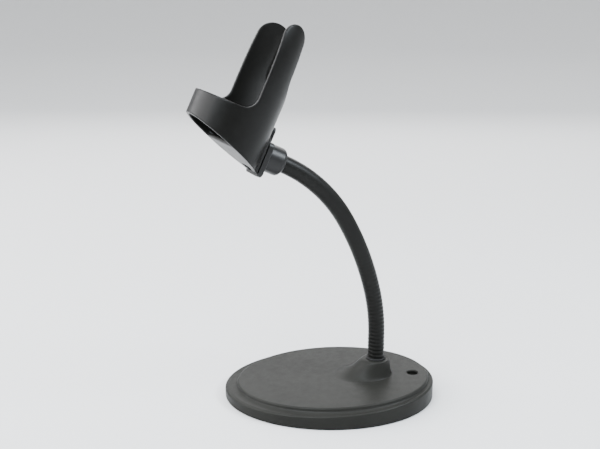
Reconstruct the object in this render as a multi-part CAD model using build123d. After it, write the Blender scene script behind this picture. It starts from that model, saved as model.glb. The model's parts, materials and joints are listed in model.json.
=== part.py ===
from build123d import *
import math
import os

os.makedirs("parts", exist_ok=True)

# A table stand for a handheld barcode scanner: a weighted oval base, a flexible neck, and an open cup with
# two ears that holds the scanner. Millimetres. +Z is up, -Y is the front, +X is the right. The origin is the
# point of the desk straight below the middle of the neck's foot.

# ---- driving dimensions: base ----
BASE_LENGTH = 163.0          # lower tier, front to rear
BASE_WIDTH = 128.0
BASE_MID_Y = -36.5           # middle of the lower tier, in front of the neck
DECK_LENGTH = 149.5          # upper tier
DECK_WIDTH = 117.0
DECK_MID_Y = -33.6
BASE_SLOPE = 2.3             # degrees, the deck rises to the rear
SKIRT_LIFT = 0.5             # gap between the skirt and the desk
SKIRT_HEIGHT = 10.8          # height of the lower tier at its middle
DECK_STEP = 4.8              # height of the upper tier above the lower one
DECK_CROWN_R = 1900.0        # the deck is very slightly domed
WALL = 2.5
EDGE_ROUND = 1.5
BOSS_HEIGHT = 12.5           # neck boss above the deck
BOSS_TOP_R = 9.4
BOSS_FOOT_A = 20.0           # half length and half width of the boss's foot
BOSS_FOOT_B = 13.5
BOSS_FOOT_MID_Y = -7.5
BOSS_ROOT = 4.0              # depth of its foot below the deck
BOSS_ROUND = 2.0
COLUMN_R = 11.0              # solid column under the boss
DESK_HOLE_R = 4.2            # hole for fastening the stand to a counter
DESK_HOLE_Y = 29.0
DESK_TUBE_R = 6.4
THROUGH = 100.0              # longer than any hole or cut
HEAD_ROOM = 20.0             # stock left above a face before it is cut

PAD_THICK = 1.5
PAD_HOLE_GAP = 1.0
PLATE_THICK = 1.2
INSET = 0.4                  # gap between the skirt and the plate or the pad
WEIGHT_LENGTH = 139.0
WEIGHT_WIDTH = 106.0
WEIGHT_BOTTOM_Z = 3.0
WEIGHT_TOP_Z = 9.0
WEIGHT_EDGE = 0.8
TUBE_GAP = 0.8               # gap between the weight and the desk hole's tube
POST_R = 3.3
SCREW_R = 1.5
SCREW_BITE = 4.0             # screw length above the bottom plate
SCREW_HEAD_R = 2.8
SCREW_HEAD = 1.0
SCREW_EDGE = 0.4
SCREW_SPARE = 0.5            # hole left past the screw's end
HEAD_GAP = 0.4               # gap round a screw's head
HEAD_SINK = 0.2              # a sunk head lies this far under its face
CROSS_WIDTH = 0.5            # cross slot in a screw's head
CROSS_LENGTH = 3.4
CROSS_DEPTH = 0.5
WEIGHT_SCREW_SEAT = WEIGHT_BOTTOM_Z + SCREW_HEAD + HEAD_SINK
POST_SPOTS = [(51.0, -70.0), (50.8, 0.0)]
WEIGHT_SCREW_X = 26.0
WEIGHT_SCREW_Y = -78.0
WEIGHT_SCREW_BITE = 1.6
WEIGHT_SCREW_SPARE = 0.2

# ---- driving dimensions: neck ----
NECK_R = 6.5                 # outside of the sleeve
CORE_R = 3.0                 # outside of the steel core and of the two studs
CORE_BORE_R = 2.0
NECK_YAW = 23.0              # degrees, the neck is turned a little to its left of the base
NECK_RUNS = [(20.0, 0.0), (35.5, 13.7), (63.5, 30.2), (69.8, 64.7)]    # run length, lean at its end
END_STUB = 6.0               # from each end of the neck to the nearest joint
JOINTS = 12
DOME_R = 5.5                 # ball end of a segment
SOCKET_R = 5.8               # its seat in the next one
SOCKET_RIM = 1.2             # start of the sleeve above the ball's centre
SHOULDER = 1.3               # end of the sleeve below the ball's centre
CORE_TOP = 4.0               # end of the core above the ball's centre
CORE_START = 6.2             # start of the core above the ball's centre

GROMMET_R = 7.7
GROMMET_DEPTH = 2.5
GROMMET_LIP = 1.4
GROMMET_ROUND = 0.9
FOOT_SEAT = 8.0              # depth of the sleeve's seat in the boss
STUD_END_Z = 3.1
STUD_EDGE = 0.5
NUT_HEIGHT = 3.2
NUT_FLATS = 10.0
WASHER_R = 7.0
WASHER_THICK = 1.0
NUT_POCKET_R = 8.0

# ---- driving dimensions: head (cup frame: Z along the cup, -Y to the front, origin on the cup's axis) ----
CUP_R = 29.5
CUP_WALL = 2.8
CUP_BACK_TO_AXIS = 29.5
RING_TOP = 24.5
CUP_FRONT_BOTTOM = 7.4
CUP_HEEL_BOTTOM = -13.3
CUP_FLOOR = 2.6
FLOOR_FRONT_Y = -1.0
EAR_TOP = 88.7
EAR_FRONT_Y = 2.5
EAR_TIP_R = 9.9
EAR_ROOT_R = 9.0
NOTCH_HALF = 19.0            # half width of the U-shaped cut between the ears
NOTCH_MID_Z = 55.0           # centre of its round bottom
HEEL_HALF = 13.0
HEEL_TOP = 13.0
HEEL_DEPTH = 12.0
HEEL_ROUND = 3.0
STOCK_LOW = -40.0            # the cup's stock, before its floor and ears are cut
STOCK_HIGH = 100.0

PLATE_TOP = 10.5
PLATE_BOTTOM = -15.0
PLATE_HALF = 12.0
PLATE_DEPTH = 4.0
PLATE_CORNER = 3.5
PLATE_EDGE = 1.0
RAIL_NECK_HALF = 3.0
RAIL_NECK_DEPTH = 3.0
RAIL_HEAD_HALF = 6.0
RAIL_HEAD_DEPTH = 3.5
RAIL_BOTTOM = -9.5
RAIL_TOP = 4.0
RAIL_GAP = 0.25

COLLAR_R = 10.2
COLLAR_LENGTH = 14.4
COLLAR_ROUND = 3.5
STUD_FLOOR = 1.0             # plate left in front of the stud's end
SET_SCREW_R = 1.5
SET_SCREW_OFFSET = 3.5       # behind the plate
SET_SCREW_SINK = 0.6
SET_SCREW_HEX_R = 0.7
SET_SCREW_HEX_DEPTH = 1.6

LEVER_HALF = 4.5
LEVER_THICK = 1.9
LEVER_BOTTOM = 4.9
LEVER_TOP = 21.0
LEVER_GAP = 1.1              # from the cup's back to the lever
LEVER_SLOT_HALF = 4.9
LEVER_SLOT_BOTTOM = 4.0
LATCH_PIN_R = 0.8
LATCH_PIN_Z = 7.0
LATCH_PIN_HALF = 8.0
LATCH_BORE_R = 0.85
LEVER_CORNER = 3.5
LATCH_RANGE = 10.0
NOSE_HALF = 2.5
NOSE_LOW = 14.0
NOSE_HIGH = 16.0
NOSE_REACH = 2.3
CATCH_GAP = 0.6
CATCH_SIDE_GAP = 0.5
CATCH_DEPTH = 6.0
SPRING_WIRE_R = 0.25
SPRING_R = 1.25
SPRING_HALF = 1.5
SPRING_TURNS = 4
SPRING_GAP = 0.3             # between the coil and the sides of the lever's window
WINDOW_TALL = 5.0

BOTTOM = (Align.CENTER, Align.CENTER, Align.MIN)


# ---- base ----
def deck_plane(lift):
    """Sloping plane at the given height above the desk, measured at the middle of the base."""
    slope = math.radians(BASE_SLOPE)
    return Plane(origin=(0, BASE_MID_Y, lift), x_dir=(1, 0, 0), z_dir=(0, -math.sin(slope), math.cos(slope)))


def height_at(y, lift):
    return lift + (y - BASE_MID_Y) * math.tan(math.radians(BASE_SLOPE))


def oval(length, width, mid_y, bottom, top):
    return extrude(Pos(0, mid_y, bottom) * Ellipse(width / 2, length / 2), top - bottom)


def sloped_oval(length, width, mid_y, bottom, lift):
    tall = oval(length, width, mid_y, bottom, lift + HEAD_ROOM)
    return split(tall, bisect_by=deck_plane(lift), keep=Keep.BOTTOM)


DECK_LIFT = SKIRT_HEIGHT + DECK_STEP
NECK_BASE_Z = height_at(0, DECK_LIFT) + BOSS_HEIGHT


def crowned_deck():
    tall = oval(DECK_LENGTH, DECK_WIDTH, DECK_MID_Y, SKIRT_LIFT, DECK_LIFT + HEAD_ROOM)
    dome = deck_plane(DECK_LIFT).location * Pos(0, 0, -DECK_CROWN_R) * Sphere(DECK_CROWN_R)
    deck = tall & dome
    rim = deck.edges().group_by(Axis.Z)[-1]
    return fillet(rim, EDGE_ROUND)


def skirt():
    body = sloped_oval(BASE_LENGTH, BASE_WIDTH, BASE_MID_Y, SKIRT_LIFT, SKIRT_HEIGHT)
    rim = body.edges().group_by(Axis.Z)[-1]
    return fillet(rim, EDGE_ROUND)


def neck_boss():
    foot = Pos(0, BOSS_FOOT_MID_Y, height_at(0, DECK_LIFT) - BOSS_ROOT) * Ellipse(BOSS_FOOT_B, BOSS_FOOT_A)
    top = Pos(0, 0, NECK_BASE_Z) * Circle(BOSS_TOP_R)
    body = loft([foot, top])
    return fillet(body.edges().group_by(Axis.Z)[-1], BOSS_ROUND)


def base_cover():
    body = skirt() + crowned_deck()
    body = body + neck_boss()
    inside_low = sloped_oval(BASE_LENGTH - 2 * WALL, BASE_WIDTH - 2 * WALL, BASE_MID_Y, 0, SKIRT_HEIGHT - WALL)
    inside_high = sloped_oval(DECK_LENGTH - 2 * WALL, DECK_WIDTH - 2 * WALL, DECK_MID_Y, 0, DECK_LIFT - WALL)
    body = body - inside_low - inside_high
    column_tall = height_at(0, DECK_LIFT) - WEIGHT_TOP_Z
    body = body + Pos(0, 0, WEIGHT_TOP_Z) * Cylinder(COLUMN_R, column_tall, align=BOTTOM)
    plate_top = PAD_THICK + PLATE_THICK
    tube_tall = height_at(DESK_HOLE_Y, DECK_LIFT) - WALL / 2 - plate_top
    body = body + Pos(0, DESK_HOLE_Y, plate_top) * Cylinder(DESK_TUBE_R, tube_tall, align=BOTTOM)
    body = body - Pos(0, DESK_HOLE_Y, 0) * Cylinder(DESK_HOLE_R, THROUGH, align=BOTTOM)
    for x, y in POST_SPOTS:
        for side in (-1, 1):
            tall = height_at(y, SKIRT_HEIGHT) - WALL / 2 - plate_top
            body = body + Pos(side * x, y, plate_top) * Cylinder(POST_R, tall, align=BOTTOM)
            body = body - Pos(side * x, y, 0) * Cylinder(SCREW_R, plate_top + SCREW_BITE, align=BOTTOM)
    for side in (-1, 1):
        x = side * WEIGHT_SCREW_X
        tall = height_at(WEIGHT_SCREW_Y, DECK_LIFT) - WALL / 2 - WEIGHT_TOP_Z
        body = body + Pos(x, WEIGHT_SCREW_Y, WEIGHT_TOP_Z) * Cylinder(POST_R, tall, align=BOTTOM)
        hole_tall = WEIGHT_TOP_Z + WEIGHT_SCREW_BITE
        body = body - Pos(x, WEIGHT_SCREW_Y, 0) * Cylinder(SCREW_R, hole_tall, align=BOTTOM)
    body = body - Cylinder(CORE_R, THROUGH, align=BOTTOM)
    body = body - Pos(0, 0, NECK_BASE_Z - FOOT_SEAT) * Cylinder(NECK_R, THROUGH, align=BOTTOM)
    body = body - Pos(0, 0, NECK_BASE_Z - GROMMET_DEPTH) * Cylinder(GROMMET_R, THROUGH, align=BOTTOM)
    return body


def base_weight():
    body = oval(WEIGHT_LENGTH, WEIGHT_WIDTH, DECK_MID_Y, WEIGHT_BOTTOM_Z, WEIGHT_TOP_Z)
    body = chamfer(body.edges(), WEIGHT_EDGE)
    body = body - Cylinder(CORE_R, THROUGH)
    body = body - Cylinder(NUT_POCKET_R, 2 * (STUD_END_Z + NUT_HEIGHT + WASHER_THICK))
    body = body - Pos(0, DESK_HOLE_Y, 0) * Cylinder(DESK_TUBE_R + TUBE_GAP, THROUGH)
    for side in (-1, 1):
        spot = Pos(side * WEIGHT_SCREW_X, WEIGHT_SCREW_Y, 0)
        body = body - spot * Cylinder(SCREW_R, THROUGH)
        body = body - spot * Cylinder(SCREW_HEAD_R + HEAD_GAP, 2 * WEIGHT_SCREW_SEAT)
    return body


def bottom_sheet(bottom, top, hole_r):
    length = BASE_LENGTH - 2 * WALL - 2 * INSET
    width = BASE_WIDTH - 2 * WALL - 2 * INSET
    body = oval(length, width, BASE_MID_Y, bottom, top)
    return body - Pos(0, DESK_HOLE_Y, 0) * Cylinder(hole_r, THROUGH)


def bottom_plate():
    body = bottom_sheet(PAD_THICK, PAD_THICK + PLATE_THICK, DESK_HOLE_R)
    for x, y in POST_SPOTS:
        for side in (-1, 1):
            body = body - Pos(side * x, y, 0) * Cylinder(SCREW_R, THROUGH)
    return body


def nonslip_pad():
    body = bottom_sheet(0, PAD_THICK, DESK_HOLE_R + PAD_HOLE_GAP)
    for x, y in POST_SPOTS:
        for side in (-1, 1):
            body = body - Pos(side * x, y, 0) * Cylinder(SCREW_HEAD_R + HEAD_GAP, THROUGH)
    return body


def pan_screw(head_top_z, length):
    """Screw pointing up, with its head's upper face at the given height."""
    head = Pos(0, 0, head_top_z - SCREW_HEAD) * Cylinder(SCREW_HEAD_R, SCREW_HEAD, align=BOTTOM)
    head = chamfer(head.edges().group_by(Axis.Z)[0], SCREW_EDGE)
    head = head - Pos(0, 0, head_top_z - SCREW_HEAD) * Box(CROSS_WIDTH, CROSS_LENGTH, 2 * CROSS_DEPTH)
    head = head - Pos(0, 0, head_top_z - SCREW_HEAD) * Box(CROSS_LENGTH, CROSS_WIDTH, 2 * CROSS_DEPTH)
    root = head_top_z - SCREW_HEAD / 4
    return head + Pos(0, 0, root) * Cylinder(SCREW_R, head_top_z - root + length, align=BOTTOM)


def plate_screws():
    screw = pan_screw(PAD_THICK, PLATE_THICK + SCREW_BITE - SCREW_SPARE)
    return [Pos(side * x, y, 0) * screw for x, y in POST_SPOTS for side in (-1, 1)]


def weight_screws():
    end = WEIGHT_TOP_Z + WEIGHT_SCREW_BITE - WEIGHT_SCREW_SPARE
    screw = pan_screw(WEIGHT_SCREW_SEAT, end - WEIGHT_SCREW_SEAT)
    return [Pos(side * WEIGHT_SCREW_X, WEIGHT_SCREW_Y, 0) * screw for side in (-1, 1)]


# ---- neck ----
def run_end(start, length, lean_0, lean_1):
    """End point (forward, up) of an arc that turns from one lean to another over a length."""
    a, b = math.radians(lean_0), math.radians(lean_1)
    if a == b:
        return start[0] + length * math.sin(a), start[1] + length * math.cos(a)
    radius = length / (b - a)
    return start[0] + radius * (math.cos(a) - math.cos(b)), start[1] + radius * (math.sin(b) - math.sin(a))


def neck_point(distance):
    """Point (forward, up) and lean of the neck's middle line at a distance along it."""
    point = (0.0, NECK_BASE_Z)
    lean = 0.0
    for length, end_lean in NECK_RUNS:
        if distance <= length:
            stop_lean = lean + (end_lean - lean) * distance / length
            return run_end(point, distance, lean, stop_lean), stop_lean
        point = run_end(point, length, lean, end_lean)
        lean = end_lean
        distance = distance - length
    return run_end(point, distance, lean, lean), lean


NECK_LENGTH = sum(length for length, end_lean in NECK_RUNS)
NECK_TURN = Rot(0, 0, NECK_YAW)


def neck_frame(forward, up, lean):
    """Place with Z along the neck, X to the side and -Y to the front of the neck's own plane."""
    return NECK_TURN * Pos(0, -forward, up) * Rot(lean, 0, 0)


def joint_spots():
    step = (NECK_LENGTH - 2 * END_STUB) / (JOINTS - 1)
    return [neck_point(END_STUB + step * i)[0] for i in range(JOINTS)]


SPOTS = joint_spots()


def segment_frame(index):
    """Frame at the ball below segment index (1 is the first), and the segment's length."""
    f0, z0 = SPOTS[index - 1]
    f1, z1 = SPOTS[index]
    lean = math.degrees(math.atan2(f1 - f0, z1 - z0))
    return neck_frame(f0, z0, lean), math.hypot(f1 - f0, z1 - z0)


def sleeve_with_socket(length):
    body = Pos(0, 0, SOCKET_RIM) * Cylinder(NECK_R, length - SOCKET_RIM, align=BOTTOM)
    return body - Sphere(SOCKET_R)


def dome_end(length):
    ball = Pos(0, 0, length) * Sphere(DOME_R)
    return ball & Pos(0, 0, length - SHOULDER) * Cylinder(2 * DOME_R, 2 * DOME_R, align=BOTTOM)


def bored(body):
    return body - Cylinder(CORE_R, THROUGH)


def neck_sleeve(index):
    place, length = segment_frame(index)
    body = sleeve_with_socket(length - SHOULDER) + dome_end(length)
    return place * bored(body)


def neck_core(index):
    place, length = segment_frame(index)
    tube = Pos(0, 0, CORE_START) * Cylinder(CORE_R, length - CORE_START + CORE_TOP, align=BOTTOM)
    return place * (tube - Cylinder(CORE_BORE_R, THROUGH))


def foot_frame():
    f0, z0 = SPOTS[0]
    return neck_frame(f0, z0, 0)


def neck_foot_sleeve():
    depth = SPOTS[0][1] - (NECK_BASE_Z - FOOT_SEAT)
    body = Pos(0, 0, -depth) * Cylinder(NECK_R, depth - SHOULDER, align=BOTTOM)
    body = body + dome_end(0)
    return foot_frame() * bored(body)


def neck_foot_stud():
    rod = Pos(0, 0, STUD_END_Z) * Cylinder(CORE_R, SPOTS[0][1] + CORE_TOP - STUD_END_Z, align=BOTTOM)
    return chamfer(rod.edges().group_by(Axis.Z)[0], STUD_EDGE)


def neck_washer():
    ring = Cylinder(WASHER_R, WASHER_THICK, align=BOTTOM) - Cylinder(CORE_R, THROUGH)
    return Pos(0, 0, STUD_END_Z + NUT_HEIGHT) * ring


def neck_nut():
    hexagon = extrude(RegularPolygon(NUT_FLATS / 2, 6, major_radius=False), NUT_HEIGHT)
    return Pos(0, 0, STUD_END_Z) * (hexagon - Cylinder(CORE_R, THROUGH))


def neck_grommet():
    bottom = NECK_BASE_Z - GROMMET_DEPTH
    ring = Pos(0, 0, bottom) * Cylinder(GROMMET_R, GROMMET_DEPTH + GROMMET_LIP, align=BOTTOM)
    ring = fillet(ring.edges().group_by(Axis.Z)[-1], GROMMET_ROUND)
    return ring - Pos(0, 0, bottom) * Cylinder(NECK_R, THROUGH)


# ---- head ----
END_POINT, END_LEAN = neck_point(NECK_LENGTH)
CUP_LEAN = 90 - END_LEAN


def head_place():
    """The cup's frame: the neck's end meets the mouth of the collar."""
    reach = CUP_BACK_TO_AXIS + PLATE_DEPTH + COLLAR_LENGTH
    lean = math.radians(CUP_LEAN)
    forward = END_POINT[0] + reach * math.cos(lean)
    up = END_POINT[1] + reach * math.sin(lean)
    return NECK_TURN * Pos(0, -forward, up) * Rot(-CUP_LEAN, 0, 0)


HEAD = head_place()


def cup_floor_plane(lift):
    rise = CUP_FRONT_BOTTOM - CUP_HEEL_BOTTOM
    slope = math.atan2(rise, 2 * CUP_R)
    middle = (CUP_FRONT_BOTTOM + CUP_HEEL_BOTTOM) / 2
    return Plane(origin=(0, 0, middle + lift), x_dir=(1, 0, 0), z_dir=(0, math.sin(slope), math.cos(slope)))


def above_floor(body, lift):
    return split(body, bisect_by=cup_floor_plane(lift), keep=Keep.TOP)


def cup_side_outline():
    """Side view of ring and ears, wider than the cup at the front and the rear."""
    tip_y = EAR_FRONT_Y + EAR_TIP_R
    tip_z = EAR_TOP - EAR_TIP_R
    low = STOCK_LOW
    far = CUP_R + HEAD_ROOM
    with BuildSketch(Plane.YZ) as outline:
        with BuildLine():
            Line((-far, low), (-far, RING_TOP))
            Line((-far, RING_TOP), (EAR_FRONT_Y - EAR_ROOT_R, RING_TOP))
            RadiusArc((EAR_FRONT_Y - EAR_ROOT_R, RING_TOP), (EAR_FRONT_Y, RING_TOP + EAR_ROOT_R), -EAR_ROOT_R)
            Line((EAR_FRONT_Y, RING_TOP + EAR_ROOT_R), (EAR_FRONT_Y, tip_z))
            ThreePointArc((EAR_FRONT_Y, tip_z), (tip_y, EAR_TOP), (tip_y + EAR_TIP_R, tip_z))
            Line((tip_y + EAR_TIP_R, tip_z), (far, tip_z))
            Line((far, tip_z), (far, low))
            Line((far, low), (-far, low))
        make_face()
    return outline.sketch


def ear_notch():
    """U-shaped cut between the ears, from the rear."""
    with BuildSketch(Plane.XZ) as outline:
        with Locations((0, NOTCH_MID_Z)):
            Circle(NOTCH_HALF)
        with Locations((0, NOTCH_MID_Z + THROUGH / 2)):
            Rectangle(2 * NOTCH_HALF, THROUGH)
    return Pos(0, CUP_R + HEAD_ROOM, 0) * extrude(outline.sketch, CUP_R + HEAD_ROOM)


def heel_block():
    deep = CUP_BACK_TO_AXIS - HEEL_DEPTH
    tall = HEEL_TOP - STOCK_LOW
    block = Pos(0, deep + HEEL_DEPTH / 2, HEEL_TOP - tall / 2) * Box(2 * HEEL_HALF, HEEL_DEPTH, tall)
    rear = block.faces().sort_by(Axis.Y)[-1]
    sides = [edge for edge in rear.edges() if edge.length > tall / 2]
    top = rear.edges().sort_by(Axis.Z)[-1:]
    return fillet(sides + list(top), HEEL_ROUND)


def rail_slot(grow):
    top = RAIL_TOP + grow
    neck_mid = CUP_BACK_TO_AXIS - RAIL_NECK_DEPTH / 2
    head_mid = CUP_BACK_TO_AXIS - RAIL_NECK_DEPTH - RAIL_HEAD_DEPTH / 2
    tall = THROUGH
    mid_z = top - tall / 2
    neck = Pos(0, neck_mid, mid_z) * Box(2 * (RAIL_NECK_HALF + grow), RAIL_NECK_DEPTH + 2 * grow, tall)
    head = Pos(0, head_mid, mid_z) * Box(2 * (RAIL_HEAD_HALF + grow), RAIL_HEAD_DEPTH + 2 * grow, tall)
    return neck + head


def cup():
    tall = STOCK_HIGH - STOCK_LOW
    tube = Pos(0, 0, STOCK_LOW) * Cylinder(CUP_R, tall, align=BOTTOM)
    hollow = Pos(0, 0, STOCK_LOW) * Cylinder(CUP_R - CUP_WALL, tall, align=BOTTOM)
    side = extrude(cup_side_outline(), CUP_R + HEAD_ROOM, both=True)
    shell = (tube - hollow) & side
    shell = shell - ear_notch()
    floor_slab = split(tube & side, bisect_by=cup_floor_plane(CUP_FLOOR), keep=Keep.BOTTOM)
    rear_half = Box(THROUGH, THROUGH, THROUGH, align=(Align.CENTER, Align.MIN, Align.CENTER))
    floor_slab = floor_slab & Pos(0, FLOOR_FRONT_Y, 0) * rear_half
    body = shell + floor_slab + heel_block()
    body = above_floor(body, 0)
    body = body - rail_slot(RAIL_GAP)
    catch_mid = (NOSE_LOW + NOSE_HIGH) / 2 + CATCH_GAP / 2
    catch_tall = NOSE_HIGH - NOSE_LOW + 2 * CATCH_GAP
    catch = Box(2 * (NOSE_HALF + CATCH_SIDE_GAP), 2 * CATCH_DEPTH, catch_tall)
    return HEAD * (body - Pos(0, CUP_BACK_TO_AXIS, catch_mid) * catch)


def bracket_plate():
    tall = PLATE_TOP - PLATE_BOTTOM
    middle = CUP_BACK_TO_AXIS + PLATE_DEPTH / 2
    plate = Pos(0, middle, PLATE_BOTTOM + tall / 2) * Box(2 * PLATE_HALF, PLATE_DEPTH, tall)
    plate = fillet(plate.edges().filter_by(Axis.Y), PLATE_CORNER)
    plate = fillet(plate.faces().sort_by(Axis.Y)[-1].edges(), PLATE_EDGE)
    rail = rail_slot(0) & Pos(0, 0, RAIL_BOTTOM) * Box(THROUGH, THROUGH, THROUGH, align=BOTTOM)
    body = plate + rail
    slot = Box(2 * LEVER_SLOT_HALF, 2 * PLATE_DEPTH, HEAD_ROOM, align=BOTTOM)
    body = body - Pos(0, middle, LEVER_SLOT_BOTTOM) * slot
    body = body - latch_axis_place() * Cylinder(LATCH_PIN_R, 2 * LATCH_PIN_HALF)
    bore_place = Pos(0, CUP_BACK_TO_AXIS + STUD_FLOOR, 0) * Rot(-90, 0, 0)
    body = body - bore_place * Cylinder(CORE_R, THROUGH, align=BOTTOM)
    return HEAD * body


def head_collar():
    start = CUP_BACK_TO_AXIS + PLATE_DEPTH
    body = Pos(0, start, 0) * Rot(-90, 0, 0) * Cylinder(COLLAR_R, COLLAR_LENGTH, align=BOTTOM)
    body = fillet(body.edges().sort_by(Axis.Y)[-1], COLLAR_ROUND)
    seat = Pos(0, start + COLLAR_LENGTH - FOOT_SEAT, 0) * Rot(-90, 0, 0)
    body = body - seat * Cylinder(NECK_R, THROUGH, align=BOTTOM)
    body = body - Pos(0, start, 0) * Rot(-90, 0, 0) * Cylinder(CORE_R, THROUGH)
    hole = Pos(0, start + SET_SCREW_OFFSET, 0) * Rot(180, 0, 0) * Cylinder(SET_SCREW_R, THROUGH, align=BOTTOM)
    return HEAD * (body - hole)


def collar_set_screw():
    spot = Pos(0, CUP_BACK_TO_AXIS + PLATE_DEPTH + SET_SCREW_OFFSET, 0) * Rot(180, 0, 0)
    end = COLLAR_R - SET_SCREW_SINK
    screw = spot * Pos(0, 0, CORE_R) * Cylinder(SET_SCREW_R, end - CORE_R, align=BOTTOM)
    socket = extrude(RegularPolygon(SET_SCREW_HEX_R, 6), SET_SCREW_HEX_DEPTH)
    return HEAD * (screw - spot * Pos(0, 0, end - SET_SCREW_HEX_DEPTH) * socket)


def neck_top_sleeve():
    mouth = CUP_BACK_TO_AXIS + PLATE_DEPTH + COLLAR_LENGTH
    place = Pos(0, mouth + END_STUB, 0) * Rot(90, 0, 0)
    return HEAD * place * bored(sleeve_with_socket(END_STUB + FOOT_SEAT))


def head_stud():
    start = CUP_BACK_TO_AXIS + STUD_FLOOR
    mouth = CUP_BACK_TO_AXIS + PLATE_DEPTH + COLLAR_LENGTH
    length = mouth + END_STUB - CORE_START - start
    return HEAD * Pos(0, start, 0) * Rot(-90, 0, 0) * Cylinder(CORE_R, length, align=BOTTOM)


# ---- latch ----
def latch_axis_place():
    y = CUP_BACK_TO_AXIS + LEVER_GAP + LEVER_THICK / 2
    return Pos(0, y, LATCH_PIN_Z) * Rot(0, 90, 0)


def latch_lever():
    y = CUP_BACK_TO_AXIS + LEVER_GAP + LEVER_THICK / 2
    tall = LEVER_TOP - LEVER_BOTTOM
    tab = Pos(0, y, LEVER_BOTTOM + tall / 2) * Box(2 * LEVER_HALF, LEVER_THICK, tall)
    top_edges = tab.edges().filter_by(Axis.Y).group_by(Axis.Z)[-1]
    tab = fillet(top_edges, LEVER_CORNER)
    nose_front = CUP_BACK_TO_AXIS + LEVER_GAP - NOSE_REACH
    nose = Box(2 * NOSE_HALF, y - nose_front, NOSE_HIGH - NOSE_LOW, align=(Align.CENTER, Align.MIN, Align.MIN))
    tab = tab + Pos(0, nose_front, NOSE_LOW) * nose
    window = Box(2 * (SPRING_HALF + SPRING_GAP), 2 * LEVER_THICK, WINDOW_TALL)
    tab = tab - Pos(0, y, LATCH_PIN_Z) * window
    return HEAD * (tab - latch_axis_place() * Cylinder(LATCH_BORE_R, THROUGH))


def latch_pin():
    return HEAD * latch_axis_place() * Cylinder(LATCH_PIN_R, 2 * LATCH_PIN_HALF)


def latch_spring():
    length = 2 * (SPRING_HALF - SPRING_WIRE_R)
    path = Helix(length / SPRING_TURNS, length, SPRING_R)
    start = path @ 0
    section = Plane(origin=start, z_dir=path % 0) * Circle(SPRING_WIRE_R)
    coil = sweep(section, path=path)
    return HEAD * latch_axis_place() * Pos(0, 0, -length / 2) * coil


# ---- write every sub-part ----
def save(name, body):
    solids = [solid for item in (body if isinstance(body, list) else [body]) for solid in item.solids()]
    shape = solids[0] if len(solids) == 1 else Compound(children=solids)
    shape.label = name
    export_step(shape, f"parts/{name}.step")


PIECES = {
    "base_cover": base_cover,
    "base_weight": base_weight,
    "bottom_plate": bottom_plate,
    "nonslip_pad": nonslip_pad,
    "plate_screws": plate_screws,
    "weight_screws": weight_screws,
    "neck_grommet": neck_grommet,
    "neck_foot_sleeve": neck_foot_sleeve,
    "neck_foot_stud": neck_foot_stud,
    "neck_washer": neck_washer,
    "neck_nut": neck_nut,
    "neck_top_sleeve": neck_top_sleeve,
    "head_stud": head_stud,
    "head_collar": head_collar,
    "collar_set_screw": collar_set_screw,
    "bracket_plate": bracket_plate,
    "cup": cup,
    "latch_lever": latch_lever,
    "latch_pin": latch_pin,
    "latch_spring": latch_spring,
}

for piece_name, make in PIECES.items():
    save(piece_name, make())
for number in range(1, JOINTS):
    save(f"neck_sleeve_{number:02d}", neck_sleeve(number))
    save(f"neck_core_{number:02d}", neck_core(number))
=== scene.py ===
import bmesh
import bpy
import json
import math
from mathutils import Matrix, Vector


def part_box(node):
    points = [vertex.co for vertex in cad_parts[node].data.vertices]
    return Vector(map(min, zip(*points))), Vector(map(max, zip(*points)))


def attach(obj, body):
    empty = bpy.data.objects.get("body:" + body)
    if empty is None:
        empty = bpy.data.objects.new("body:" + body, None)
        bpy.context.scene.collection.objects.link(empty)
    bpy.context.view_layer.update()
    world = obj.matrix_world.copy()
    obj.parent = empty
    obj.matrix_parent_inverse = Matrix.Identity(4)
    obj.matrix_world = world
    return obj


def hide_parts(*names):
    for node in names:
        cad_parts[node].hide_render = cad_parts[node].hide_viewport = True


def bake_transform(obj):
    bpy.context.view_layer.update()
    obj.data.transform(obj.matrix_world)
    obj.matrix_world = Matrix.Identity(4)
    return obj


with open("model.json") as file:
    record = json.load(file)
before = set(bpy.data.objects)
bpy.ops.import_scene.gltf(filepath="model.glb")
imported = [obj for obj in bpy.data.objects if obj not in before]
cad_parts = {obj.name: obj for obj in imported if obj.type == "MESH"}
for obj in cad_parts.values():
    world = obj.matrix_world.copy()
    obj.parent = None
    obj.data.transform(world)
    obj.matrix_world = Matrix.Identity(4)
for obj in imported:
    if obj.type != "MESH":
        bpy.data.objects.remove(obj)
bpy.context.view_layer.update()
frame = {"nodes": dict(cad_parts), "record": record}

MM = 0.001

# ---- driving sizes, in millimetres and degrees, in the frame of the CAD model ----
BASE_LENGTH = 163.0
BASE_WIDTH = 128.0
BASE_MID_Y = -36.5
DECK_LENGTH = 149.5
DECK_WIDTH = 117.0
DECK_MID_Y = -33.6
SLOPE = math.tan(math.radians(2.3))
SKIRT_LIFT = 0.5
LEDGE_HEIGHT = 10.8
DECK_HEIGHT = 15.6
DECK_CROWN_R = 1900.0
WALL = 2.5
EDGE_ROUND = 1.5
COVE_SHARE = 0.8             # how much of the ledge the cove at its back takes up
FOOT_ROUND = 0.5
CEILING_DROP = 0.5           # how far the ledge's underside dips beside the skirt
SKIRT_ROWS = (0.4, 1.5, 4.0)  # rows of points below the rim, closer together where the shading turns
DECK_RINGS = 120
EVEN_SPACING = 0.35          # the rest of the deck's rings crowd towards the boss
BASE_SIDES = 360
EDGE_STEPS = 6
COVE_STEPS = 8
LEDGE_STEPS = 4
FOOT_STEPS = 4

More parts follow.
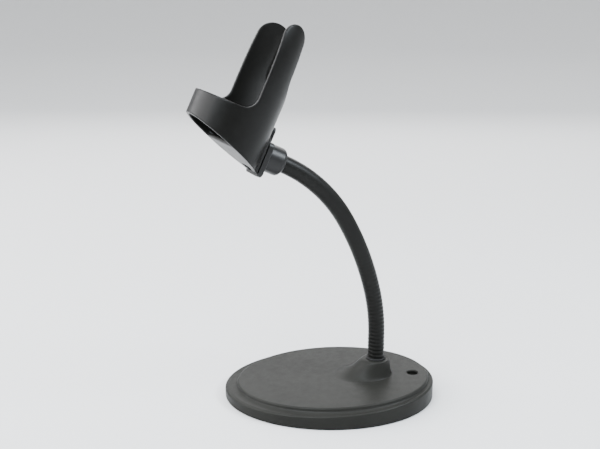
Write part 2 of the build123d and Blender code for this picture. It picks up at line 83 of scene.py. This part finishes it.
NECK_BASE_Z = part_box("base_cover")[1].z / MM
BOSS_ROOT = 4.0
BOSS_TOP_R = 10.6
BOSS_FOOT_A = 20.0
BOSS_FOOT_B = 16.0
BOSS_FOOT_Y = -7.5
BOSS_BLEND = 10.0
BOSS_RIM_BLEND = 2.6
BOSS_REACH = 60.0            # the deck is plain further out than this
BOSS_LEVELS = (-1.5, 1.6)    # search range of the flank's level: 0 at its foot, 1 at its top
BOSS_HALVINGS = 40
GROMMET_R = 7.7
GROMMET_DEPTH = 2.5
FOOT_SEAT = 8.0
COLUMN_R = 11.0
COLUMN_BOTTOM = 9.0

DESK_HOLE_Y = 29.0
DESK_HOLE_R = 4.2
DESK_TUBE_R = 6.4
TUBE_BOTTOM = 2.7
HOLE_SIDES = 64
HOLE_LIP = 0.6
CUTTER_MARGIN = 10.0         # how far the cutter stands proud of the deck
CUTTER_BOTTOM = -5.0
CUTTER_CORE_R = 0.01

NECK_R = 6.5
CORE_R = 3.2
NECK_YAW = 23.0
NECK_RUNS = [(20.0, 0.0), (35.5, 13.7), (63.5, 30.2), (69.8, 64.7)]
NECK_LENGTH = sum(length for length, lean in NECK_RUNS)
NECK_JOINTS = 12
END_STUB = 6.0
END_GAP = 0.2
SKIN_INSET = 0.01            # keeps the skin just inside the CAD sleeve
NECK_SIDES = 72
NECK_STEP = 0.4
RIB_PITCH = 3.0
RIB_DEPTH = 0.3
RIB_FULL_LENGTH = 45.0
RIB_FADE_LENGTH = 70.0
RIB_SHARPNESS = 1.5
BORE_EVERY = 6               # the hidden bore has one ring of points to this many of the skin

CUP_VOXEL = 0.6
CUP_SMOOTHING = 5
CUP_REACH = 47.9             # from the end of the neck to the cup's axis
EAR_TOP = 88.7
EAR_BEND_START = 34.0
EAR_BEND = 7.0               # how far the ears' tips lean in
SOFT_EDGE_SEGMENTS = 3
SOFT_EDGE_ANGLE = 40.0
PLATE_EDGE = 0.3
LEVER_EDGE = 0.25

SMOOTH_ANGLE = 35.0          # faces that meet at less than this are shaded as one
RIBBED_SMOOTH_ANGLE = 50.0
WIDE_SMOOTH_ANGLE = 60.0

VIEW_LENS = 53.634
VIEW_PITCH = 14.7            # down from level
VIEW_AWAY = 650.66           # the camera's place from the neck's foot: out to the side,
VIEW_ASIDE = -59.28          # towards the front of the base,
VIEW_RISE = 278.37           # and up

NOISE_LOW = 0.3              # nearly all of a noise lies between these two
NOISE_HIGH = 0.7
FLOW_SCALE = 30.0            # noise scales are per metre, bump depths in metres
FLOW_DEPTH = 0.00003
SHEEN_SCALE = 180.0
SCRATCH_STRETCH = 0.08

FLOOR_FLAT_R = 4.0           # the stage is in metres
FLOOR_COVE_R = 3.0
FLOOR_SIDES = 96
FLOOR_COVE_STEPS = 24
FLOOR_GREY = 0.6


# ---- small helpers ----
def new_object(name, points, faces, smooth_angle=SMOOTH_ANGLE):
    """Mesh object from points in millimetres, with its faces turned outwards."""
    mesh = bpy.data.meshes.new(name)
    mesh.from_pydata([(x * MM, y * MM, z * MM) for x, y, z in points], [], faces)
    outward = bmesh.new()
    outward.from_mesh(mesh)
    bmesh.ops.recalc_face_normals(outward, faces=outward.faces)
    outward.to_mesh(mesh)
    outward.free()
    finish_normals(mesh, smooth_angle)
    obj = bpy.data.objects.new(name, mesh)
    bpy.context.scene.collection.objects.link(obj)
    return obj


def finish_normals(mesh, smooth_angle=SMOOTH_ANGLE):
    """Smooth shading, apart from the edges that turn by more than an angle."""
    mesh.polygons.foreach_set("use_smooth", [True] * len(mesh.polygons))
    mesh.set_sharp_from_angle(angle=math.radians(smooth_angle))


def ring_faces(rings, sides, closed):
    """Quads between neighbouring rings of points, and from the last ring to the first when closed."""
    faces = []
    last = rings if closed else rings - 1
    for i in range(last):
        a = i * sides
        b = ((i + 1) % rings) * sides
        for j in range(sides):
            k = (j + 1) % sides
            faces.append((a + j, a + k, b + k, b + j))
    return faces


def lathe(profile, sides, centre):
    """Closed ring-shaped body: a closed outline of (radius, z) turned about a vertical axis."""
    points = []
    for radius, z in profile:
        for j in range(sides):
            angle = 2 * math.pi * j / sides
            points.append((centre[0] + radius * math.cos(angle), centre[1] + radius * math.sin(angle), z))
    return points, ring_faces(len(profile), sides, True)


def apply_modifiers(obj):
    """Puts the result of an object's modifiers in its mesh."""
    depsgraph = bpy.context.evaluated_depsgraph_get()
    mesh = bpy.data.meshes.new_from_object(obj.evaluated_get(depsgraph))
    obj.modifiers.clear()
    obj.data = mesh


# ---- camera ----
def make_camera():
    """Looks a little down at the stand's side, placed from the neck's foot."""
    camera = bpy.data.objects.new("camera", bpy.data.cameras.new("camera"))
    bpy.context.scene.collection.objects.link(camera)
    camera.data.lens = VIEW_LENS
    camera.location = (VIEW_AWAY * MM, VIEW_ASIDE * MM, (NECK_BASE_Z + VIEW_RISE) * MM)
    camera.rotation_euler = (math.radians(90.0 - VIEW_PITCH), 0, math.radians(90.0))
    bpy.context.scene.camera = camera


# ---- materials ----
def node_tree(name):
    """New material with its node tree, its shader and its place socket in the frame of the CAD model."""
    material = bpy.data.materials.new(name)
    material.use_nodes = True
    tree = material.node_tree
    shader = tree.nodes["Principled BSDF"]
    place = tree.nodes.new("ShaderNodeTexCoord")
    return material, tree, shader, place.outputs["Object"]


def noise(tree, place, scale, detail, roughness):
    node = tree.nodes.new("ShaderNodeTexNoise")
    node.inputs["Scale"].default_value = scale
    node.inputs["Detail"].default_value = detail
    node.inputs["Roughness"].default_value = roughness
    tree.links.new(place, node.inputs["Vector"])
    return node.outputs["Fac"]


def remap(tree, value, low, high):
    """Turns a noise into a number between low and high."""
    node = tree.nodes.new("ShaderNodeMapRange")
    node.inputs["From Min"].default_value = NOISE_LOW
    node.inputs["From Max"].default_value = NOISE_HIGH
    node.inputs["To Min"].default_value = low
    node.inputs["To Max"].default_value = high
    tree.links.new(value, node.inputs["Value"])
    return node.outputs["Result"]


def two_tone(tree, value, dark, light):
    """Turns a noise into a colour between dark and light."""
    node = tree.nodes.new("ShaderNodeValToRGB")
    node.color_ramp.elements[0].position = NOISE_LOW
    node.color_ramp.elements[0].color = (*dark, 1)
    node.color_ramp.elements[1].position = NOISE_HIGH
    node.color_ramp.elements[1].color = (*light, 1)
    tree.links.new(value, node.inputs["Fac"])
    return node.outputs["Color"]


def bumps(tree, shader, layers):
    """Stacked bump maps from (height, distance in metres) pairs."""
    normal = None
    for height, distance in layers:
        node = tree.nodes.new("ShaderNodeBump")
        node.inputs["Strength"].default_value = 1.0
        node.inputs["Distance"].default_value = distance
        tree.links.new(height, node.inputs["Height"])
        if normal is not None:
            tree.links.new(normal, node.inputs["Normal"])
        normal = node.outputs["Normal"]
    tree.links.new(normal, shader.inputs["Normal"])


def moulded(name, dark, light, roughness, grain, grain_depth, specular=0.2):
    """Moulded plastic or rubber: fine grain from the tool, faint flow marks and uneven sheen."""
    material, tree, shader, place = node_tree(name)
    flow = noise(tree, place, FLOW_SCALE, 4.0, 0.6)
    fine = noise(tree, place, grain, 2.0, 0.6)
    tree.links.new(two_tone(tree, flow, dark, light), shader.inputs["Base Color"])
    sheen = noise(tree, place, SHEEN_SCALE, 5.0, 0.65)
    tree.links.new(remap(tree, sheen, roughness - 0.04, roughness + 0.05), shader.inputs["Roughness"])
    shader.inputs["Specular IOR Level"].default_value = specular
    bumps(tree, shader, [(flow, FLOW_DEPTH), (fine, grain_depth)])
    return material


def metal(name, colour, roughness, scratch_scale, grain_depth):
    """Bare or plated metal: long fine scratches and small pits."""
    material, tree, shader, place = node_tree(name)
    stretch = tree.nodes.new("ShaderNodeMapping")
    stretch.inputs["Scale"].default_value = (1.0, 1.0, SCRATCH_STRETCH)
    tree.links.new(place, stretch.inputs["Vector"])
    scratches = noise(tree, stretch.outputs["Vector"], scratch_scale, 6.0, 0.7)
    pits = noise(tree, place, scratch_scale * 0.4, 4.0, 0.6)
    dark = tuple(0.7 * c for c in colour)
    tree.links.new(two_tone(tree, pits, dark, colour), shader.inputs["Base Color"])
    tree.links.new(remap(tree, scratches, roughness - 0.08, roughness + 0.12), shader.inputs["Roughness"])
    shader.inputs["Metallic"].default_value = 1.0
    bumps(tree, shader, [(scratches, grain_depth), (pits, grain_depth)])
    return material


def paint_nodes(material, slot_name):
    """Puts a material on every CAD node of one slot of the record."""
    for part in frame["record"]["subparts"]:
        if part["material_slot"] == slot_name:
            obj = frame["nodes"][part["node"]]
            obj.data.materials.clear()
            obj.data.materials.append(material)


def make_materials():
    """One finish for each material slot of the record."""
    made = {
        "base_plastic": moulded(
            "base_plastic", (0.0105, 0.0105, 0.0092), (0.0135, 0.0135, 0.0119),
            roughness=0.44, grain=2600, grain_depth=0.00002, specular=0.08),
        "cup_plastic": moulded(
            "cup_plastic", (0.002, 0.002, 0.0017), (0.0032, 0.0032, 0.0028),
            roughness=0.36, grain=2600, grain_depth=0.00002, specular=0.14),
        "collar_plastic": moulded(
            "collar_plastic", (0.006, 0.006, 0.006), (0.009, 0.009, 0.009),
            roughness=0.38, grain=2200, grain_depth=0.000015, specular=0.25),
        "latch_plastic": moulded(
            "latch_plastic", (0.003, 0.003, 0.003), (0.005, 0.005, 0.005),
            roughness=0.5, grain=2200, grain_depth=0.00002),
        "neck_sleeve": moulded(
            "neck_sleeve", (0.004, 0.004, 0.0035), (0.006, 0.006, 0.0053),
            roughness=0.4, grain=1800, grain_depth=0.00003, specular=0.12),
        "grommet_rubber": moulded(
            "grommet_rubber", (0.004, 0.004, 0.004), (0.007, 0.007, 0.007),
            roughness=0.6, grain=1500, grain_depth=0.00003),
        "rubber_pad": moulded(
            "rubber_pad", (0.010, 0.010, 0.010), (0.016, 0.016, 0.015),
            roughness=0.8, grain=900, grain_depth=0.00012),
        "painted_steel": moulded(
            "painted_steel", (0.014, 0.014, 0.014), (0.02, 0.02, 0.02),
            roughness=0.45, grain=1100, grain_depth=0.00004),
        "cast_iron": metal("cast_iron", (0.16, 0.15, 0.14), 0.6, 500, 0.0001),
        "zinc_steel": metal("zinc_steel", (0.58, 0.58, 0.56), 0.33, 1500, 0.00001),
        "spring_steel": metal("spring_steel", (0.45, 0.45, 0.46), 0.28, 2500, 0.00001),
    }
    for slot_name, material in made.items():
        paint_nodes(material, slot_name)
    return made


# ---- base ----
def rise(y):
    """How much higher the sloping top is here than at the middle of the base."""
    return (y - BASE_MID_Y) * SLOPE


def deck_z(x, y):
    """Height of the slightly crowned, sloping deck."""
    reach = x * x + (y - BASE_MID_Y) ** 2
    return DECK_HEIGHT + rise(y) - reach / (2 * DECK_CROWN_R)


def smooth_max(a, b, width):
    """The larger of two heights, with the crease between them rounded off over a width."""
    share = max(width - abs(a - b), 0.0) / width
    return max(a, b) + share * share * width / 4


def boss_height(x, y):
    """Height of the boss's flank over a point: each level is an oval, from its long foot to its round top."""
    foot = deck_z(0, 0) - BOSS_ROOT
    low, high = BOSS_LEVELS
    for _ in range(BOSS_HALVINGS):
        level = (low + high) / 2
        half_length = BOSS_FOOT_A + (BOSS_TOP_R - BOSS_FOOT_A) * level
        half_width = BOSS_FOOT_B + (BOSS_TOP_R - BOSS_FOOT_B) * level
        middle = BOSS_FOOT_Y * (1 - level)
        if (x / half_width) ** 2 + ((y - middle) / half_length) ** 2 > 1:
            high = level
        else:
            low = level
    return foot + low * (NECK_BASE_Z - foot)


def top_z(x, y):
    """Height of the cover's top: the deck, the boss faired into it, and the boss's rounded rim."""
    deck = deck_z(x, y)
    if math.hypot(x, y) > BOSS_REACH:
        return deck
    flank = smooth_max(deck, boss_height(x, y), BOSS_BLEND)
    return -smooth_max(-flank, -NECK_BASE_Z, BOSS_RIM_BLEND)


def oval_edge(width, length, middle, angle):
    """Point on an oval and its outward direction."""
    point = Vector((width / 2 * math.cos(angle), middle + length / 2 * math.sin(angle)))
    outward = Vector((math.cos(angle) / width, math.sin(angle) / length)).normalized()
    return point, outward


def arc(centre_out, centre_z, radius, start, stop, steps):
    """Points (offset, z) on an arc, angles in degrees from straight out."""
    made = []
    for i in range(steps + 1):
        angle = math.radians(start + (stop - start) * i / steps)
        made.append((centre_out + radius * math.cos(angle), centre_z + radius * math.sin(angle)))
    return made


def stand_on(edge, out, outline):
    """Stands an outline of (offset, z) on a point of an oval, with the offsets going outwards."""
    return [(edge.x + out.x * offset, edge.y + out.y * offset, z) for offset, z in outline]


def deck_rows(ray, edge, out):
    """From the bore out over the boss and the deck."""
    start = ray * GROMMET_R
    stop = edge - out * EDGE_ROUND
    rows = []
    for i in range(DECK_RINGS + 1):
        share = i / DECK_RINGS
        share = EVEN_SPACING * share + (1 - EVEN_SPACING) * share * share
        spot = start.lerp(stop, share)
        rows.append((spot.x, spot.y, top_z(spot.x, spot.y)))
    return rows


def step_rows(edge, out, low_edge, low_out):
    """Round the deck's edge, down the cove and out along the ledge."""
    stop = edge - out * EDGE_ROUND
    edge_z = deck_z(stop.x, stop.y) - EDGE_ROUND
    ledge_z = LEDGE_HEIGHT + rise(edge.y)
    shelf = low_edge - low_out * EDGE_ROUND
    shelf_z = LEDGE_HEIGHT + rise(low_edge.y)
    cove = COVE_SHARE * (shelf - edge).length
    outline = arc(-EDGE_ROUND, edge_z, EDGE_ROUND, 90, 0, EDGE_STEPS)[1:]
    for offset, z in arc(1.0, 1.0, 1.0, 180, 270, COVE_STEPS):
        outline.append((offset * cove, ledge_z + z * (edge_z - ledge_z)))
    rows = stand_on(edge, out, outline)
    last = Vector(rows[-1])
    for i in range(1, LEDGE_STEPS):
        rows.append(tuple(last.lerp(Vector((shelf.x, shelf.y, shelf_z)), i / LEDGE_STEPS)))
    return rows


def skirt_rows(low_edge, low_out):
    """Round the ledge's rim, down the skirt, round its foot and up inside it."""
    ledge_z = LEDGE_HEIGHT + rise(low_edge.y)
    rim_z = ledge_z - EDGE_ROUND
    outline = arc(-EDGE_ROUND, rim_z, EDGE_ROUND, 90, 0, EDGE_STEPS)
    outline += [(0, rim_z - drop) for drop in SKIRT_ROWS]
    outline += arc(-FOOT_ROUND, SKIRT_LIFT + FOOT_ROUND, FOOT_ROUND, 0, -90, FOOT_STEPS)
    outline += [(-WALL, SKIRT_LIFT), (-WALL, ledge_z - WALL - CEILING_DROP)]
    return stand_on(low_edge, low_out, outline)


def inner_rows(ray, edge, out):
    """Under the deck, down the column below the boss and up the bore that holds the neck's foot."""
    inner = edge - out * WALL
    column = ray * COLUMN_R
    rows = [
        (inner.x, inner.y, LEDGE_HEIGHT + rise(edge.y) - WALL),
        (inner.x, inner.y, deck_z(inner.x, inner.y) - WALL),
        (column.x, column.y, deck_z(column.x, column.y) - WALL),
        (column.x, column.y, COLUMN_BOTTOM),
    ]
    seat = NECK_BASE_Z - FOOT_SEAT
    recess = NECK_BASE_Z - GROMMET_DEPTH
    bore = [(CORE_R, COLUMN_BOTTOM), (CORE_R, seat), (NECK_R, seat), (NECK_R, recess), (GROMMET_R, recess)]
    for radius, z in bore:
        rows.append((ray.x * radius, ray.y * radius, z))
    return rows


def base_column(angle):
    """One radial line of the cover's skin, all the way round its section."""
    edge, out = oval_edge(DECK_WIDTH, DECK_LENGTH, DECK_MID_Y, angle)
    low_edge, low_out = oval_edge(BASE_WIDTH, BASE_LENGTH, BASE_MID_Y, angle)
    ray = edge.normalized()
    line = deck_rows(ray, edge, out)
    line += step_rows(edge, out, low_edge, low_out)
    line += skirt_rows(low_edge, low_out)
    line += inner_rows(ray, edge, out)
    return line


def desk_hole_cutter():
    """A pin with a funnel at the top, which leaves a small chamfer round the hole."""
    top = deck_z(0, DESK_HOLE_Y)
    funnel_r = DESK_HOLE_R + 2 * HOLE_LIP
    profile = [
        (CUTTER_CORE_R, CUTTER_BOTTOM),
        (DESK_HOLE_R, CUTTER_BOTTOM),
        (DESK_HOLE_R, top - HOLE_LIP),
        (funnel_r, top + HOLE_LIP),
        (funnel_r, top + CUTTER_MARGIN),
        (CUTTER_CORE_R, top + CUTTER_MARGIN),
    ]
    points, faces = lathe(profile, HOLE_SIDES, (0, DESK_HOLE_Y))
    return new_object("desk_hole_cutter", points, faces)


def desk_tube():
    """The tube that lines the hole, from the bottom plate up into the cover."""
    top = deck_z(0, DESK_HOLE_Y) - WALL / 2
    profile = [(DESK_HOLE_R, TUBE_BOTTOM), (DESK_TUBE_R, TUBE_BOTTOM), (DESK_TUBE_R, top), (DESK_HOLE_R, top)]
    return lathe(profile, HOLE_SIDES, (0, DESK_HOLE_Y))


def make_base(material):
    """The cover as one closed skin, cut by the hole, and the tube below the hole."""
    columns = [base_column(2 * math.pi * j / BASE_SIDES) for j in range(BASE_SIDES)]
    rings = len(columns[0])
    points = [columns[j][i] for i in range(rings) for j in range(BASE_SIDES)]
    shell = new_object("base_shell", points, ring_faces(rings, BASE_SIDES, True))
    cutter = desk_hole_cutter()
    cut = shell.modifiers.new("cut", "BOOLEAN")
    cut.operation = "DIFFERENCE"
    cut.object = cutter
    apply_modifiers(shell)
    bpy.data.objects.remove(cutter)
    finish_normals(shell.data)
    shell.data.materials.clear()
    shell.data.materials.append(material)
    tube_points, tube_faces = desk_tube()
    tube = new_object("desk_hole_tube", tube_points, tube_faces)
    tube.data.materials.append(material)
    for piece in (shell, tube):
        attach(piece, "base")
    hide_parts("base_cover")


# ---- neck ----
def neck_arc(start, length, lean_0, lean_1):
    """End (forward, up) of an arc whose lean from upright goes from one angle to another."""
    a, b = math.radians(lean_0), math.radians(lean_1)
    if a == b:
        return start[0] + length * math.sin(a), start[1] + length * math.cos(a)
    radius = length / (b - a)
    return start[0] + radius * (math.cos(a) - math.cos(b)), start[1] + radius * (math.sin(b) - math.sin(a))


def neck_point(distance):
    """Point (forward, up) and lean of the neck's middle line at a distance from its foot."""
    point = (0.0, NECK_BASE_Z)
    lean = 0.0
    for length, end_lean in NECK_RUNS:
        if distance <= length:
            stop_lean = lean + (end_lean - lean) * distance / length
            return neck_arc(point, distance, lean, stop_lean), stop_lean
        point = neck_arc(point, length, lean, end_lean)
        lean = end_lean
        distance = distance - length
    return neck_arc(point, distance, lean, lean), lean


def neck_place(distance):
    """Middle of the neck, and its two cross directions, in the frame of the CAD model."""
    (forward, up), lean = neck_point(distance)
    yaw = math.radians(NECK_YAW)
    ahead = Vector((math.sin(yaw), -math.cos(yaw), 0))
    side = Vector((math.cos(yaw), math.sin(yaw), 0))
    middle = ahead * forward + Vector((0, 0, up))
    lean = math.radians(lean)
    over = ahead * math.cos(lean) - Vector((0, 0, math.sin(lean)))
    return middle, side, over


def rib(distance, angle):
    """Height of the sleeve's spiral rib, full near the foot and fading out up the neck."""
    fade = 1.0 - min(max((distance - RIB_FULL_LENGTH) / RIB_FADE_LENGTH, 0.0), 1.0)
    turn = distance / RIB_PITCH - angle / (2 * math.pi)
    crest = 0.5 + 0.5 * math.cos(2 * math.pi * turn)
    return RIB_DEPTH * fade * fade * (crest ** RIB_SHARPNESS - 1.0)


def neck_ring(distance, radius, ribbed):
    """Ring of points round the neck's middle line."""
    middle, side, over = neck_place(distance)
    made = []
    for j in range(NECK_SIDES):
        angle = 2 * math.pi * j / NECK_SIDES
        reach = radius + (rib(distance, angle) if ribbed else 0.0)
        spot = middle + side * (reach * math.cos(angle)) + over * (reach * math.sin(angle))
        made.append(tuple(spot))
    return made


def neck_piece(name, start, stop):
    """Hollow length of the sleeve: out along the skin, back along the bore."""
    count = max(2, round((stop - start) / NECK_STEP))
    stations = [start + (stop - start) * i / count for i in range(count + 1)]
    points = []
    for distance in stations:
        points += neck_ring(distance, NECK_R - SKIN_INSET, True)
    for distance in reversed(stations[::BORE_EVERY] + [stop]):
        points += neck_ring(distance, CORE_R, False)
    rings = len(points) // NECK_SIDES
    return new_object(name, points, ring_faces(rings, NECK_SIDES, True), RIBBED_SMOOTH_ANGLE)


def make_neck(material):
    """One piece of sleeve round each joint, bending from the link below it to the link above it."""
    gap = (NECK_LENGTH - 2 * END_STUB) / (NECK_JOINTS - 1)
    spots = [END_STUB + gap * i for i in range(NECK_JOINTS)]
    middles = [(a + b) / 2 for a, b in zip(spots, spots[1:])]
    ends = [END_GAP - FOOT_SEAT] + middles + [NECK_LENGTH + FOOT_SEAT - END_GAP]
    for i in range(NECK_JOINTS):
        piece = neck_piece(f"neck_skin_{i + 1:02d}", ends[i], ends[i + 1])
        piece.data.materials.append(material)
        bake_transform(piece)
        if i == 0:
            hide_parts("neck_foot_sleeve")
        else:
            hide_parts(f"neck_sleeve_{i:02d}")
        if i == NECK_JOINTS - 1:
            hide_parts("neck_top_sleeve")


# ---- head ----
def bend_ears(mesh):
    """The ears lean in a little towards their tips."""
    end, side, over = neck_place(NECK_LENGTH)
    centre = end + over.cross(side) * CUP_REACH
    for vertex in mesh.vertices:
        arm = vertex.co / MM - centre
        height = -arm.dot(over)
        if height > EAR_BEND_START:
            share = (height - EAR_BEND_START) / (EAR_TOP - EAR_BEND_START)
            lean_in = math.copysign(EAR_BEND * share ** 3, arm.dot(side))
            vertex.co -= side * (lean_in * MM)


def make_cup(material):
    """The moulded cup: the CAD shape with every edge softened as a mould leaves it."""
    shell = bpy.data.objects.new("cup_shell", frame["nodes"]["cup"].data.copy())
    bpy.context.scene.collection.objects.link(shell)
    remesh = shell.modifiers.new("remesh", "REMESH")
    remesh.mode = "VOXEL"
    remesh.voxel_size = CUP_VOXEL * MM
    smooth = shell.modifiers.new("smooth", "SMOOTH")
    smooth.factor = 0.5
    smooth.iterations = CUP_SMOOTHING
    apply_modifiers(shell)
    bend_ears(shell.data)
    finish_normals(shell.data, WIDE_SMOOTH_ANGLE)
    shell.data.materials.clear()
    shell.data.materials.append(material)
    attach(shell, "head")
    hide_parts("cup")


def soften(node, width):
    """Rounds the sharp edges of a CAD node that stays in view."""
    obj = frame["nodes"][node]
    bevel = obj.modifiers.new("soft_edges", "BEVEL")
    bevel.width = width * MM
    bevel.segments = SOFT_EDGE_SEGMENTS
    bevel.limit_method = "ANGLE"
    bevel.angle_limit = math.radians(SOFT_EDGE_ANGLE)
    bevel.harden_normals = True


# ---- stage ----
def make_floor():
    """Flat floor that curves up far away into a round wall, so that every view has the same pale ground."""
    profile = [(FLOOR_FLAT_R, 0.0)]
    for i in range(1, FLOOR_COVE_STEPS + 1):
        angle = math.radians(90.0 * i / FLOOR_COVE_STEPS)
        profile.append((FLOOR_FLAT_R + FLOOR_COVE_R * math.sin(angle), FLOOR_COVE_R * (1 - math.cos(angle))))
    profile.append((FLOOR_FLAT_R + FLOOR_COVE_R, 2 * FLOOR_COVE_R))
    rings, _ = lathe(profile, FLOOR_SIDES, (0.0, 0.0))
    points = [(0.0, 0.0, 0.0)] + rings
    faces = [(0, 1 + j, 1 + (j + 1) % FLOOR_SIDES) for j in range(FLOOR_SIDES)]
    for a, b, c, d in ring_faces(len(profile), FLOOR_SIDES, False):
        faces.append((a + 1, d + 1, c + 1, b + 1))
    mesh = bpy.data.meshes.new("floor")
    mesh.from_pydata(points, [], faces)
    finish_normals(mesh, WIDE_SMOOTH_ANGLE)
    floor = bpy.data.objects.new("floor", mesh)
    bpy.context.scene.collection.objects.link(floor)
    material, _, shader, _ = node_tree("floor_paper")
    shader.inputs["Base Color"].default_value = (FLOOR_GREY, FLOOR_GREY, FLOOR_GREY, 1)
    shader.inputs["Roughness"].default_value = 0.9
    shader.inputs["Specular IOR Level"].default_value = 0.1
    mesh.materials.append(material)


def area_light(name, place, aim, size, power, colour):
    """Soft light at a place, turned to an aim, all in metres."""
    light = bpy.data.lights.new(name, "AREA")
    light.shape = "RECTANGLE"
    light.size = size[0]
    light.size_y = size[1]
    light.energy = power
    light.color = colour
    obj = bpy.data.objects.new(name, light)
    bpy.context.scene.collection.objects.link(obj)
    obj.location = place
    obj.rotation_euler = (Vector(aim) - Vector(place)).to_track_quat("-Z", "Y").to_euler()


def make_lights():
    """A wide overhead sky, and soft boxes left of, behind, above and right of the stand."""
    world = bpy.data.worlds.new("studio")
    bpy.context.scene.world = world
    world.use_nodes = True
    background = world.node_tree.nodes["Background"]
    background.inputs["Color"].default_value = (1.0, 1.0, 1.0, 1)
    background.inputs["Strength"].default_value = 0.03
    area_light("left_softbox", (0.05, -1.15, 0.65), (0, -0.05, 0.2), (1.7, 0.7), 35, (0.98, 0.98, 1.0))
    area_light("back_softbox", (-1.3, 0.0, 0.8), (0, -0.03, 0.1), (1.8, 0.8), 18, (0.99, 0.99, 1.0))
    area_light("top_softbox", (0.6, -0.45, 1.05), (0, -0.05, 0.15), (0.7, 0.7), 22, (0.87, 0.94, 1.0))
    area_light("right_softbox", (0.3, 0.84, 0.84), (0.05, -0.06, 0.26), (0.5, 0.3), 22, (0.86, 0.93, 1.0))
    sky = bpy.data.lights.new("overhead_silk", "SUN")
    sky.energy = 5.0
    sky.angle = math.radians(80.0)
    sky.color = (0.95, 0.975, 1.0)
    overhead = bpy.data.objects.new("overhead_silk", sky)
    bpy.context.scene.collection.objects.link(overhead)


make_camera()
make_floor()
make_lights()
materials = make_materials()
make_base(materials["base_plastic"])
make_neck(materials["neck_sleeve"])
make_cup(materials["cup_plastic"])
soften("bracket_plate", PLATE_EDGE)
soften("latch_lever", LEVER_EDGE)
